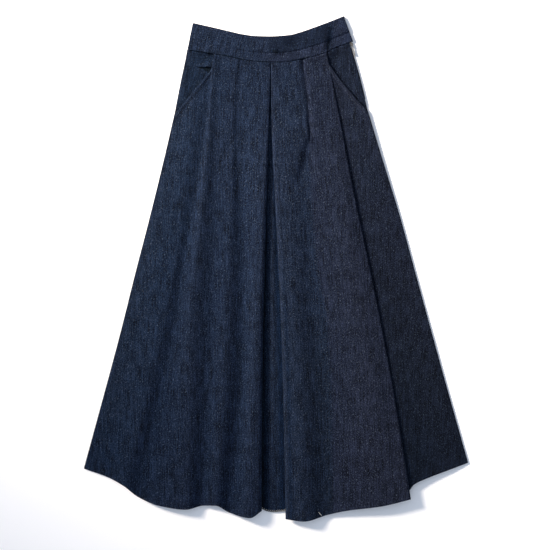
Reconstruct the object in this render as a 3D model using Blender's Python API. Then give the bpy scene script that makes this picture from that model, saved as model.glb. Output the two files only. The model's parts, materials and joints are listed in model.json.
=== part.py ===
"""A long denim skirt laid flat on its back.

The waist points along +Y, the wearer's front faces up (+Z) and the origin is the middle of the
laid outline, on the surface under it. Every cloth piece is a thin wall: a grid of points laid
through sections across the skirt, then given the thickness of the denim.

The fold tables have a row for each fold line of the cloth, with its place and its height at the
stations in LEVELS. Everything between the fold lines is worked out from them.
"""
import math

import bmesh
import bpy
import numpy as np
from mathutils import Matrix, Vector

MM = 0.001

# Driving dimensions, in millimetres.
CLOTH = 1.3                    # thickness of the denim
BAND = 2.6                     # thickness of the waistband, two layers pressed together
GAP = 0.3                      # clearance between pieces that lie on each other
SEAM = 0.6                     # clearance along the waist seam
CENTRE = (2.0, 0.7)            # middle of the laid outline

LAYER = CLOTH + GAP            # rise from one layer of denim to the next
BACK_Z = CLOTH / 2             # height of the middle of the cloth, layer by layer
SECOND_Z = BACK_Z + LAYER
THIRD_Z = SECOND_Z + LAYER

# Stations of the tables and of the sections, as a share of the way from the top to the hem.
LEVELS = (0.0, 0.12, 0.3, 0.6, 1.0)
ROWS = (0.0, 0.03, 0.07, 0.12, 0.18, 0.26, 0.36, 0.47, 0.58, 0.69, 0.8, 0.9, 1.0)
WAIST_COLUMNS = 30             # cells along the waist seam

# Cells of the cloth's grids, and steps of the small curves.
FOLD_CELLS = 4                 # between one fold line and the next
ROLL_CELLS = 6                 # round a soft edge
TURN_CELLS = 4                 # round the hidden turn under the knife edge
TURNED_CELLS = 2               # across the cloth turned under a pleat
UNDERLAY_CELLS = 10
BAND_CELLS = 4                 # over the height of the waistband
FACING_CELLS = 14
TAPE_CELLS = (3, 8)            # across and along
BRIDGE_CELLS = 8

# Fold lines, left to right: name, y of the top, y of the hem, then x and height at each station.
FRONT_LEFT_FOLDS = (
    ("side seam", 313.1, -409.5, (-207.0, -227.0, -259.2, -314.1, -391.5), (3.9, 3.9, 2.6, 2.3, 2.3)),
    ("hip", 344.5, -426.9, (-181.8, -201.1, -230.0, -278.1, -342.3), (3.9, 4.3, 4.6, 4.6, 5.0)),
    ("low ridge", 370.1, -444.1, (-161.1, -171.2, -190.4, -230.0, -309.5), (3.9, 4.4, 5.2, 7.0, 11.0)),
    ("low trough", 408.3, -466.9, (-130.4, -141.8, -165.6, -207.2, -280.8), (3.9, 4.2, 4.4, 4.6, 5.2)),
    ("flank", 423.8, -485.3, (-128.1, -136.2, -154.8, -189.4, -235.7), (4.6, 6.2, 8.0, 9.6, 11.5)),
    ("outer pleat", 445.0, -491.7, (-126.1, -132.2, -147.8, -173.7, -182.4), (5.1, 8.0, 11.0, 13.0, 15.0)),
    ("outer trough", 445.0, -485.3, (-117.9, -118.9, -123.6, -130.3, -147.6), (4.5, 4.9, 5.2, 5.4, 5.6)),
    ("inner pleat", 445.0, -484.3, (-79.9, -88.3, -89.8, -100.6, -122.0), (5.2, 6.8, 10.0, 13.0, 16.0)),
    ("inner trough", 445.0, -499.1, (-71.8, -77.9, -72.2, -66.9, -94.3), (5.0, 5.3, 6.0, 6.2, 6.6)),
    ("centre ridge", 445.0, -508.9, (-26.6, -24.5, -30.6, -38.3, -51.2), (5.5, 8.0, 12.0, 15.0, 18.0)),
    ("centre edge", 445.0, -494.6, (-9.2, -12.0, -17.0, -24.8, -27.5), (5.5, 7.6, 11.5, 14.5, 17.0)),
)
FRONT_RIGHT_FOLDS = (
    ("centre edge", 445.0, -512.0, (-7.6, -6.5, 0.7, 14.0, 22.3), (5.5, 7.6, 11.0, 13.5, 15.5)),
    ("centre ridge", 445.0, -516.3, (6.1, 17.9, 26.6, 39.4, 59.4), (5.6, 8.0, 11.8, 14.8, 17.0)),
    ("inner pleat", 445.0, -503.8, (53.7, 66.7, 69.7, 89.3, 106.6), (5.2, 5.4, 7.0, 7.0, 7.5)),
    ("shoulder", 445.0, -495.4, (61.5, 74.6, 94.8, 124.1, 145.5), (5.8, 7.3, 9.2, 10.8, 12.5)),
    ("outer ridge", 445.0, -484.9, (88.0, 112.0, 136.8, 180.4, 219.3), (7.2, 8.4, 10.6, 13.2, 15.5)),
    ("knife edge", 450.0, -471.4, (104.5, 127.2, 158.5, 215.3, 276.8), (7.2, 8.2, 10.2, 12.6, 14.5)),
)
UNDER_KNIFE_FOLDS = (
    ("turned edge", 445.0, -483.0, (90.5, 109.4, 134.9, 182.1, 230.8), (3.9, 3.9, 2.3, 2.3, 2.4)),
    ("under the edge", 433.0, -453.0, (100.0, 122.0, 153.0, 209.0, 275.0), (3.9, 3.9, 2.3, 2.4, 2.6)),
    ("pocket top", 423.8, -442.5, (108.0, 134.2, 165.6, 217.6, 283.5), (3.9, 3.9, 2.3, 2.5, 2.8)),
    ("hip", 385.9, -426.9, (134.2, 156.1, 189.0, 242.7, 315.7), (3.9, 4.0, 3.8, 4.2, 4.6)),
    ("outer hip", 350.0, -410.9, (164.4, 187.2, 221.3, 279.6, 358.7), (5.3, 4.3, 3.4, 3.6, 3.8)),
    ("side seam", 321.3, -397.4, (190.8, 217.4, 256.6, 315.5, 395.6), (5.2, 3.9, 2.6, 2.3, 2.3)),
)
PLEAT_DEPTH = (18.0, 62.0)     # cloth turned under at the centre pleat, at the waist and at the hem
TURNED_LIFT = 0.6              # how far the turned cloth stands off at the hem
TIGHTEST_BEND = 0.75           # smallest radius that the denim is bent to
ROLL_SHAPE = 2.2               # width of a soft edge against half its height

# Outline curves, x then y.
WAIST_SEAM = (
    (-184.0, 449.6), (-133.7, 441.3), (-92.2, 434.7), (-71.8, 429.6), (-28.7, 423.9), (0.0, 422.9),
    (20.5, 423.7), (54.3, 429.4), (98.4, 440.4), (127.1, 454.0), (154.6, 463.8), (162.0, 466.5),
)
WAIST_TOP = (
    (-170.0, 504.2), (-136.1, 496.0), (-100.4, 487.0), (-64.2, 478.4), (-41.0, 475.3), (-10.2, 474.3),
    (29.9, 477.1), (50.2, 482.4), (75.8, 491.3), (111.9, 505.2), (140.8, 517.3),
)
BACK_HEM = (
    (-391.5, -408.5), (-340.0, -423.0), (-280.0, -447.0), (-200.0, -468.0), (-100.0, -478.0),
    (0.0, -482.0), (100.0, -479.0), (200.0, -466.0), (260.0, -444.0), (300.0, -427.0),
    (350.0, -410.0), (395.6, -396.5),
)
UNDERLAY_HEM = ((-90.0, -492.0), (-27.5, -492.3), (-16.4, -497.0), (0.0, -498.7), (21.9, -496.4), (85.0, -494.6))

# Side edges of the back, y then x.
LEFT_SIDE = (
    (-408.5, -391.5), (-120.5, -314.1), (96.3, -259.2), (226.4, -227.0), (313.1, -207.0),
    (345.9, -200.6), (386.9, -192.7), (427.9, -184.0), (450.0, -180.0),
)
RIGHT_SIDE = (
    (-396.5, 395.6), (-110.0, 315.5), (105.7, 256.6), (235.1, 217.4), (321.3, 190.8), (345.9, 184.9),
    (386.9, 174.7), (420.0, 165.6), (449.5, 156.9), (466.0, 152.6),
)

# Waistband: x of its bottom and top corners, the rise of the back band behind the front one, and
# the height of the middle of the front band along it.
BAND_BOTTOM = (-179.6, 159.8)
BAND_TOP = (-168.5, 140.8)
BACK_RISE = 2.2
HALF_WAIST = 170.0
BAND_HEIGHTS = (
    (-180.0, 4.3), (-126.0, 5.7), (-71.0, 5.9), (-9.0, 6.3), (54.0, 6.4), (98.0, 7.4), (124.0, 5.0), (160.0, 4.3),
)

# Hip facings, which show inside the pocket openings: the two ends of the inner edge, and the y of
# the lower end of the side edge.
FACING_LEFT_INNER = ((-100.0, 437.0), (-108.6, 390.8))
FACING_RIGHT_INNER = ((84.0, 438.0), (86.0, 406.0))
FACING_FOOT = 290.0

# Concealed zip in the right-hand side seam.
TAPE = 1.0
TAPE_INSET = 7.0
TAPE_PROUD = 1.3
ZIP_TOP = 453.6
ZIP_END = 348.0
ZIP_LIFT = TAPE + GAP          # rise of the facing over the tape
LIFT_FADE = (14.0, 26.0)       # distances from the edge between which that rise dies out
LIFT_END = (343.0, 328.0)      # y of its full height and of its foot, below the end of the zip

# Zip slider and its pull tab, seen from the side of the skirt.
SLIDER_TOP = (153.9, 463.6)
SLIDER_SLOPE = math.radians(-74.4)
SLIDER_SIZE = (8.4, 2.6, 4.2)  # along the zip, outward, up
SLIDER_Z = 2.8
SLIDER_BEVEL = 0.5
PIVOT = (4.2, 3.6)             # along the zip and outward
BRIDGE_RADIUS = 1.4
BRIDGE_THICKNESS = 0.8
BRIDGE_WIDTH = 1.4
BRIDGE_ROOT = 1.6
TAB_THICKNESS = 0.9
TAB_TILT = math.radians(-2.5)
TAB_EYE = (0.45, 3.2, 2.4)     # start and end along the tab, and width
TAB_OUTLINE = (
    (-0.45, 2.1), (3.8, 2.1), (6.5, 1.4), (10.0, 1.2), (15.0, 1.5), (20.0, 2.0), (23.5, 2.0), (25.2, 1.4),
    (26.0, 0.5),
)

DENIM = (0.0144, 0.0222, 0.0409, 1.0)
TAPE_COLOUR = (0.02, 0.022, 0.035, 1.0)
METAL_COLOUR = (0.42, 0.38, 0.32, 1.0)


def mix(a, b, share):
    return a + (b - a) * share


def ease(share):
    """Smooth step from 0 to 1."""
    t = min(max(share, 0.0), 1.0)
    return t * t * (3 - 2 * t)


def smooth_through(xs, ys, x):
    """Value at x of a smooth curve through the points, which never overshoots them."""
    step = np.diff(xs)
    slope = np.diff(ys) / step
    tangent = np.concatenate((slope[:1], np.zeros(len(xs) - 2), slope[-1:]))
    for i in range(1, len(xs) - 1):
        before, after = slope[i - 1], slope[i]
        if before * after > 0:
            tangent[i] = 2 * before * after / (before + after)
    i = min(max(int(np.searchsorted(xs, x)) - 1, 0), len(step) - 1)
    t = min(max((x - xs[i]) / step[i], 0.0), 1.0)
    rise = ys[i + 1] - ys[i]
    bend = (tangent[i] * (1 - t) - tangent[i + 1] * t) * step[i] - rise * (1 - 2 * t)
    return ys[i] + rise * t + t * (1 - t) * bend


def along(table, x):
    """Value at x of the smooth curve through a table of (x, value) rows."""
    return smooth_through(*zip(*table), x)


def back_rise(x):
    """How far the back's waist stands up behind the front's."""
    return BACK_RISE * max(0.0, 1 - (x / HALF_WAIST) ** 2)


def new_material(name, colour, roughness, metallic):
    material = bpy.data.materials.new(name)
    material.use_nodes = True
    shader = material.node_tree.nodes["Principled BSDF"]
    shader.inputs["Base Color"].default_value = colour
    shader.inputs["Roughness"].default_value = roughness
    shader.inputs["Metallic"].default_value = metallic
    return material


def new_object(name, shape, material, origin=(0.0, 0.0, 0.0)):
    """Object from a bmesh in millimetres, with its own origin in the skirt's frame."""
    bmesh.ops.translate(shape, verts=shape.verts, vec=-Vector(origin))
    bmesh.ops.scale(shape, verts=shape.verts, vec=(MM, MM, MM))
    mesh = bpy.data.meshes.new(name)
    shape.to_mesh(mesh)
    shape.free()
    mesh.materials.append(material)
    mesh.shade_smooth()
    mesh.set_sharp_from_angle(angle=math.radians(60))
    obj = bpy.data.objects.new(name, mesh)
    obj.location = (Vector(origin) - Vector((*CENTRE, 0.0))) * MM
    bpy.context.collection.objects.link(obj)
    return obj


def cloth(name, sections, thickness, material):
    """A wall through its sections, each a row of (x, y, z) points, the one nearest the waist first."""
    rows = len(sections) - 1
    columns = len(sections[0]) - 1
    sheet = bmesh.new()
    bmesh.ops.create_grid(sheet, x_segments=columns, y_segments=rows, size=0.5)
    for vert in sheet.verts:
        column = round((vert.co.x + 0.5) * columns)
        row = round((0.5 - vert.co.y) * rows)
        vert.co = sections[row][column]
    obj = new_object(name, sheet, material)
    wall = obj.modifiers.new("thickness", "SOLIDIFY")
    wall.thickness = thickness * MM
    wall.offset = 0.0
    wall.use_quality_normals = True
    return obj


def fold_at(fold, level):
    """Place across the skirt and height of a fold line at a level."""
    return smooth_through(LEVELS, fold[3], level), smooth_through(LEVELS, fold[4], level)


def open_stretch(lines):
    """Points across cloth that lies in soft ridges, from the first line to the last."""
    xs, zs = zip(*lines)
    points = []
    for start, end in zip(xs, xs[1:]):
        for step in range(FOLD_CELLS):
            x = mix(start, end, step / FOLD_CELLS)
            points.append((x, smooth_through(xs, zs, x)))
    points.append(lines[-1])
    return points


def straight(start, end, cells):
    """Points from start to end, without the start."""
    return [(mix(start[0], end[0], s / cells), mix(start[1], end[1], s / cells)) for s in range(1, cells + 1)]


def half_roll(edge, side, lower, cells):
    """Half an ellipse round an edge that faces side (+1 right, -1 left), from its top down."""
    x, upper = edge
    half = (upper - lower) / 2
    width = min(half * half / TIGHTEST_BEND, ROLL_SHAPE * half)
    points = []
    for step in range(cells + 1):
        angle = math.pi * step / cells
        points.append((x - side * width * (1 - math.sin(angle)), lower + half * (1 + math.cos(angle))))
    return points


def lay(section, folds):
    """Rows of points down the skirt, where section(level) gives x and height across it."""
    top_xs = [fold[3][0] for fold in folds]
    tops = [fold[1] for fold in folds]
    hems = [(fold[3][-1], fold[2]) for fold in folds]
    top_ys = [min(np.interp(x, top_xs, tops), along(WAIST_SEAM, x) - SEAM / 2) for x, _ in section(0.0)]
    hem_ys = [along(hems, x) for x, _ in section(1.0)]
    rows = []
    for level in ROWS:
        ends = zip(section(level), top_ys, hem_ys)
        rows.append([(x, mix(top, hem, level), z) for (x, z), top, hem in ends])
    return rows


def turned_under(edge, side, level):
    """Soft edge of the centre pleat and the cloth turned under it, from the top layer inwards."""
    roll = half_roll(edge, side, THIRD_Z + TURNED_LIFT * level, ROLL_CELLS)
    inner_edge = (edge[0] - side * mix(*PLEAT_DEPTH, level), THIRD_Z)
    return roll, straight(roll[-1], inner_edge, TURNED_CELLS)


def front_left_section(level):
    lines = [fold_at(fold, level) for fold in FRONT_LEFT_FOLDS]
    roll, turned = turned_under(lines[-1], 1, level)
    return open_stretch(lines[:-1] + roll[:1]) + roll[1:] + turned


def front_right_section(level):
    """The top layer, from the cloth turned under the centre pleat to that under the knife edge."""
    lines = [fold_at(fold, level) for fold in FRONT_RIGHT_FOLDS]
    roll, turned = turned_under(lines[0], -1, level)
    under_z = fold_at(UNDER_KNIFE_FOLDS[2], level)[1]
    knife = half_roll(lines[-1], 1, under_z + LAYER + TURNED_LIFT * level, ROLL_CELLS)
    inner = under_knife_section(level)[0]
    top_layer = open_stretch(roll[:1] + lines[1:-1] + knife[:1])
    return turned[::-1] + roll[:0:-1] + top_layer + knife[1:] + straight(knife[-1], inner, TURNED_CELLS)[:-1]


def under_knife_section(level):
    """The cloth that comes back from under the knife edge and goes on to the side seam."""
    lines = [fold_at(fold, level) for fold in UNDER_KNIFE_FOLDS]
    x, z = lines[0]
    turn = half_roll((x, z + LAYER), -1, z, TURN_CELLS)
    return turn[:-1] + open_stretch(turn[-1:] + lines[1:])


def front_left(material):
    return cloth("front_left", lay(front_left_section, FRONT_LEFT_FOLDS), CLOTH, material)


def front_right(material):
    top_layer = lay(front_right_section, FRONT_RIGHT_FOLDS)
    under_layer = lay(under_knife_section, UNDER_KNIFE_FOLDS)
    return cloth("front_right", [a + b for a, b in zip(top_layer, under_layer)], CLOTH, material)


def pleat_underlay(material):
    """Flat strip that joins the two turned edges of the centre pleat."""
    left, right = FRONT_LEFT_FOLDS[-1], FRONT_RIGHT_FOLDS[0]
    rows = []
    for level in ROWS:
        depth = mix(*PLEAT_DEPTH, level)
        start = fold_at(left, level)[0] - depth
        end = fold_at(right, level)[0] + depth
        rows.append([mix(start, end, step / UNDERLAY_CELLS) for step in range(UNDERLAY_CELLS + 1)])
    sections = []
    for level, xs in zip(ROWS, rows):
        ends = zip(xs, rows[0], rows[-1])
        sections.append([
            (x, mix(along(WAIST_SEAM, top) - SEAM / 2, along(UNDERLAY_HEM, hem), level), SECOND_Z)
            for x, top, hem in ends
        ])
    return cloth("pleat_underlay", sections, CLOTH, material)


def back_panel(material):
    """One flat piece from side seam to side seam, which the skirt rests on."""
    sections = []
    for level in ROWS:
        left_y = mix(LEFT_SIDE[-1][0] - SEAM, LEFT_SIDE[0][0], level)
        right_y = mix(RIGHT_SIDE[-1][0] - 2 * SEAM, RIGHT_SIDE[0][0], level)
        section = []
        for column in range(WAIST_COLUMNS + 1):
            share = column / WAIST_COLUMNS
            top_x = mix(LEFT_SIDE[-1][1], RIGHT_SIDE[-1][1], share)
            hem_x = mix(LEFT_SIDE[0][1], RIGHT_SIDE[0][1], share)
            top_y = along(WAIST_SEAM, top_x) + back_rise(top_x) - SEAM / 2
            x = mix(along(LEFT_SIDE, left_y), along(RIGHT_SIDE, right_y), share)
            section.append((x, mix(top_y, along(BACK_HEM, hem_x), level), BACK_Z))
        sections.append(section)
    return cloth("back_panel", sections, CLOTH, material)


def waistband(name, rise, height, material):
    """Half of the waistband, with its lower edge along the waist seam."""
    sections = []
    for row in range(BAND_CELLS + 1):
        section = []
        for column in range(WAIST_COLUMNS + 1):
            low_x = mix(*BAND_BOTTOM, column / WAIST_COLUMNS)
            high_x = mix(*BAND_TOP, column / WAIST_COLUMNS)
            low_y = along(WAIST_SEAM, low_x) + rise(low_x) + SEAM / 2
            high_y = along(WAIST_TOP, high_x) + rise(high_x)
            share = row / BAND_CELLS
            section.append((mix(high_x, low_x, share), mix(high_y, low_y, share), height(low_x)))
        sections.append(section)
    return cloth(name, sections, BAND, material)


def facing_sections(side, inner, lift):
    """Rows of a hip facing from its side edge inwards, where lift(x, y) is its rise over a zip."""
    side_top = side[-1][0] - 2 * SEAM
    sections = []
    for row in range(FACING_CELLS + 1):
        down = row / FACING_CELLS
        outer_y = mix(side_top, FACING_FOOT, down)
        outer_x = along(side, outer_y)
        inner_x, inner_y = (mix(inner[0][i], inner[1][i], down) for i in (0, 1))
        section = []
        for column in range(FACING_CELLS + 1):
            share = column / FACING_CELLS
            x, y = mix(outer_x, inner_x, share), mix(outer_y, inner_y, share)
            top_x = mix(along(side, side_top), inner[0][0], share)
            top_y = mix(side_top, inner[0][1], share)
            y += (along(WAIST_SEAM, top_x) - SEAM / 2 - top_y) * (1 - down)
            section.append((x, y, SECOND_Z + lift(x, y)))
        sections.append(section)
    return sections


def zip_lift(x, y):
    """Rise of the right-hand facing where it lies on the zip tape."""
    near, far = LIFT_FADE
    inward = along(RIGHT_SIDE, y) - x
    full, foot = LIFT_END
    return ZIP_LIFT * ease((far - inward) / (far - near)) * ease((y - foot) / (full - foot))


def hip_facings(material):
    left = facing_sections(LEFT_SIDE, FACING_LEFT_INNER, lambda x, y: 0.0)
    right = facing_sections(RIGHT_SIDE, FACING_RIGHT_INNER, zip_lift)
    cloth("hip_facing_left", left, CLOTH, material)
    cloth("hip_facing_right", [section[::-1] for section in right], CLOTH, material)


def zip_tape(material):
    """Closed tape of the zip, on the back panel and under the edge of the facing."""
    columns, rows = TAPE_CELLS
    sections = []
    for row in range(rows + 1):
        y = mix(ZIP_TOP, ZIP_END, row / rows)
        edge = along(RIGHT_SIDE, y)
        section = []
        for column in range(columns + 1):
            section.append((edge + mix(-TAPE_INSET, TAPE_PROUD, column / columns), y, CLOTH + GAP + TAPE / 2))
        sections.append(section)
    return cloth("zip_tape", sections, TAPE, material)


def slider_frame():
    """Matrix from the slider's own axes (along the zip, outward, up) to the skirt's."""
    turn = Matrix.Rotation(SLIDER_SLOPE, 4, "Z")
    return Matrix.Translation((*SLIDER_TOP, SLIDER_Z)) @ turn


def zip_slider(material):
    """Slider body at the top of the zip, with the bridge that holds the pull tab."""
    frame = slider_frame()
    length, depth, _ = SLIDER_SIZE
    body = bmesh.new()
    bmesh.ops.create_cube(body, size=1.0)
    bmesh.ops.scale(body, verts=body.verts, vec=SLIDER_SIZE)
    bmesh.ops.translate(body, verts=body.verts, vec=(length / 2, depth / 2, 0.0))
    bmesh.ops.bevel(
        body, geom=body.edges[:], offset=SLIDER_BEVEL, segments=2, profile=0.5, affect="EDGES", material=-1,
    )
    bmesh.ops.transform(body, matrix=frame, verts=body.verts)
    slider = new_object("zip_slider", body, material)

    along_zip, outward = PIVOT
    path = [(along_zip - BRIDGE_RADIUS, BRIDGE_ROOT)]
    for step in range(BRIDGE_CELLS + 1):
        angle = math.pi * step / BRIDGE_CELLS
        path.append((along_zip - BRIDGE_RADIUS * math.cos(angle), outward + BRIDGE_RADIUS * math.sin(angle)))
    path.append((along_zip + BRIDGE_RADIUS, BRIDGE_ROOT))
    half = BRIDGE_WIDTH / 2
    sections = [[frame @ Vector((a, out, z)) for a, out in path] for z in (half, -half)]
    bridge = cloth("bridge", sections, BRIDGE_THICKNESS, material)
    bridge.hide_render = True
    bridge.display_type = "WIRE"
    join = slider.modifiers.new("bridge", "BOOLEAN")
    join.operation = "UNION"
    join.solver = "EXACT"
    join.object = bridge
    return slider


def zip_pull_tab(material):
    """Drop-shaped pull tab, hanging from the bridge, with its origin on the pivot's axis."""
    along_zip, outward = PIVOT
    frame = slider_frame() @ Matrix.Translation((along_zip, outward, 0.0)) @ Matrix.Rotation(TAB_TILT, 4, "Z")
    pivot = frame.translation
    outline = [(a, -half) for a, half in TAB_OUTLINE] + [(a, half) for a, half in reversed(TAB_OUTLINE)]
    plate = bmesh.new()
    plate.faces.new([plate.verts.new((a, 0.0, z)) for a, z in outline])
    bmesh.ops.transform(plate, matrix=frame, verts=plate.verts)
    tab = new_object("zip_pull_tab", plate, material, origin=pivot)
    wall = tab.modifiers.new("thickness", "SOLIDIFY")
    wall.thickness = TAB_THICKNESS * MM
    wall.offset = 0.0

    start, end, width = TAB_EYE
    eye = bmesh.new()
    bmesh.ops.create_cube(eye, size=1.0)
    bmesh.ops.scale(eye, verts=eye.verts, vec=(end - start, 4 * TAB_THICKNESS, width))
    bmesh.ops.translate(eye, verts=eye.verts, vec=((start + end) / 2, 0.0, 0.0))
    bmesh.ops.transform(eye, matrix=frame, verts=eye.verts)
    cutter = new_object("tab_eye", eye, material, origin=pivot)
    cutter.hide_render = True
    cutter.display_type = "WIRE"
    cut = tab.modifiers.new("eye", "BOOLEAN")
    cut.operation = "DIFFERENCE"
    cut.solver = "EXACT"
    cut.object = cutter
    return tab


for old in list(bpy.data.objects):
    bpy.data.objects.remove(old, do_unlink=True)

denim = new_material("indigo denim", DENIM, 0.9, 0.0)
tape = new_material("woven zip tape", TAPE_COLOUR, 0.85, 0.0)
metal = new_material("pale zip metal", METAL_COLOUR, 0.4, 0.9)

back_panel(denim)
pleat_underlay(denim)
hip_facings(denim)
front_left(denim)
front_right(denim)
waistband("waistband_back", back_rise, lambda x: BAND / 2, denim)
waistband("waistband_front", lambda x: 0.0, lambda x: along(BAND_HEIGHTS, x), denim)
zip_tape(tape)
zip_slider(metal)
zip_pull_tab(metal)
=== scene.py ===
"""Looks of a long denim skirt that lies flat on its back.

The waist points along +Y and the wearer's front faces up. Every piece of cloth is a thin shell laid
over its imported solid, cut to the same outline, with its folds at the same places.
"""
import json
import math

import bmesh
import bpy
import numpy as np
from mathutils import Matrix, Vector, noise

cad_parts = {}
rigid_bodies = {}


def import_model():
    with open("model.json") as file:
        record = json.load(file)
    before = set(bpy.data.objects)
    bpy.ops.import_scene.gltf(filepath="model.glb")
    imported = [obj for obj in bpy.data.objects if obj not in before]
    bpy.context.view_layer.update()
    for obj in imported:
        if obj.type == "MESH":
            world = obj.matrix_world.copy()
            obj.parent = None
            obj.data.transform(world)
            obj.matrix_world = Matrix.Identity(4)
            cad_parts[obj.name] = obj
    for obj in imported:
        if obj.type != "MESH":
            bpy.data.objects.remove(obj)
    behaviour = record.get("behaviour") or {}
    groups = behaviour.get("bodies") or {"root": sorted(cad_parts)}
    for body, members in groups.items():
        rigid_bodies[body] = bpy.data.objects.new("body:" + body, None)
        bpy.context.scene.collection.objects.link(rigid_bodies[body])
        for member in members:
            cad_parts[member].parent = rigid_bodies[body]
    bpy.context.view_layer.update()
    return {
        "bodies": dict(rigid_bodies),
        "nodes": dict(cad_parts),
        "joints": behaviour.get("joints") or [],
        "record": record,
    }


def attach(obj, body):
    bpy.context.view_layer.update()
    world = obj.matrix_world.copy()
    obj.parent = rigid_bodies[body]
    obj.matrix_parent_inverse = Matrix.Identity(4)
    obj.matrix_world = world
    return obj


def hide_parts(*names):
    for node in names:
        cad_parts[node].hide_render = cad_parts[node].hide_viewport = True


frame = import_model()

# ------------------------------
# Back panel. The whole back of the skirt is one flared piece of indigo denim, a warp-faced twill
# with dyed warp and pale weft. It lies face down, flat on the surface, and its side edges turn up
# to meet the front in the side seams.
MM = 0.001
WALL = 1.2  # thickness of the denim, mm
MIDDLE = (2.0, 0.7)  # of the outline, in the cutter's own coordinates
BACK_Z = 0.65  # height of the middle of the lowest layer
SEAM_TURN = 0.45  # of an edge to its neighbour in a side seam
SEAM_TURN_WIDTH = 1.3

WAIST_SEAM = (
    (-184, 449.6), (-133.7, 441.3), (-92.2, 434.7), (-71.8, 429.6), (-28.7, 423.9), (0, 422.9),
    (20.5, 423.7), (54.3, 429.4), (98.4, 440.4), (127.1, 454), (154.6, 463.8), (162, 466.5),
)
LEFT_SIDE = (
    (-408.5, -391.5), (-120.5, -314.1), (96.3, -259.2), (226.4, -227), (313.1, -207),
    (345.9, -200.6), (386.9, -192.7), (427.9, -184), (450, -180),
)
RIGHT_SIDE = (
    (-396.5, 395.6), (-110, 315.5), (105.7, 256.6), (235.1, 217.4), (321.3, 190.8), (345.9, 184.9),
    (386.9, 174.7), (420, 165.6), (449.5, 156.9), (466, 152.6),
)
BACK_HEM = (
    (-391.5, -408.5), (-340, -423), (-280, -447), (-200, -468), (-100, -478), (0, -482),
    (100, -479), (200, -466), (260, -444), (300, -427), (350, -410), (395.6, -396.5),
)
BACK_RISE = 2.2  # of the back's waist over the front's
HALF_WAIST = 170.0

DENIM_COLOURS = ("#04070E", "#253248")  # deep indigo, and its faded crowns
REDDER_COLOURS = ("#05070E", "#2A3145")  # the same, dyed a little redder
WRONG_COLOURS = ("#272F40", "#525E72")  # paler, because the weft lies there
WEFT_COLOUR = "#5C6676"
WEAR_AND_SHADE_COLOURS = ("#A6C6DE", "#FCFBFA")  # cast at low wear and in painted shade, and at high wear and in painted light
PAINTED_SHADE_COLOUR = "#E4D2B0"  # cast of painted shade, where a fold keeps light off the cloth
SHEEN_COLOUR = "#9FB0CC"
SHADE_AND_WEAR_Z = (2.0, 19.0)  # heights of the deepest hollow and highest ridge
HOLLOW_WEAR_AND_SHADE = 0.5  # wear in the deepest hollow, lowered also as painted shade, from 0 for none to 1
HEM_DARKENING = -0.24  # painted shade: darker from the hips to the hem
HEM_DARKENING_Y = (-400.0, 250.0)  # y of the hem and of the hips
SEAM_SHADE_DARKENING = 1.2  # painted shade deep in a seam: how far it lowers the wear value
SEAM_SHADE_CAST = 0.9  # and how much painted shade it adds there
EDGE_ROUNDING = 0.35  # of a cut edge, as a share of the thickness

# Grain of the denim: size across and along the warp in mm, detail, turn, and share in the colour.
# It is drawn coarser than it is, so that it shows: a warp thread is 0.6 mm wide.
WARP = (1.3, 7.0, 2.0, 0.3, 0.5)
SLUB = (2.2, 48.0, 1.0, 0.0, 1.0)  # thick stretches of the warp threads
NEP = (1.55, 1.75, 1.0, 0.6, 2.5)  # short flecks of paler thread
MOTTLE = (15.0, 24.0, 2.0, 0.0, 0.7)  # clouds in the dye
GLINT = (2.4, 3.6, 1.0, 1.1, 0.5)  # weft that shows through
GLINT_SPAN = (0.66, 0.8)  # noise where it starts and is full
TWILL = (2.4, 0.45, 0.1)  # size of the diagonal rib, its turn and its share
TONE_BASE = -2.08  # lets only the strongest grain be light
RELIEF = (0.25, 0.35, 0.5)  # depth, strength, and height of the rib against the threads


def linear(code, alpha=1.0):
    """Linear colour from an sRGB hex code."""
    parts = [int(code[i:i + 2], 16) / 255 for i in (1, 3, 5)]
    return (*[c / 12.92 if c <= 0.04045 else ((c + 0.055) / 1.055) ** 2.4 for c in parts], alpha)


def node(tree, kind, inputs=None, **settings):
    """Add a node with its settings, its values and the links to its inputs."""
    new = tree.nodes.new(kind)
    for name, value in settings.items():
        setattr(new, name, value)
    for name, value in (inputs or {}).items():
        if isinstance(value, bpy.types.NodeSocket):
            tree.links.new(value, new.inputs[name])
        else:
            new.inputs[name].default_value = value
    return new


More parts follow.
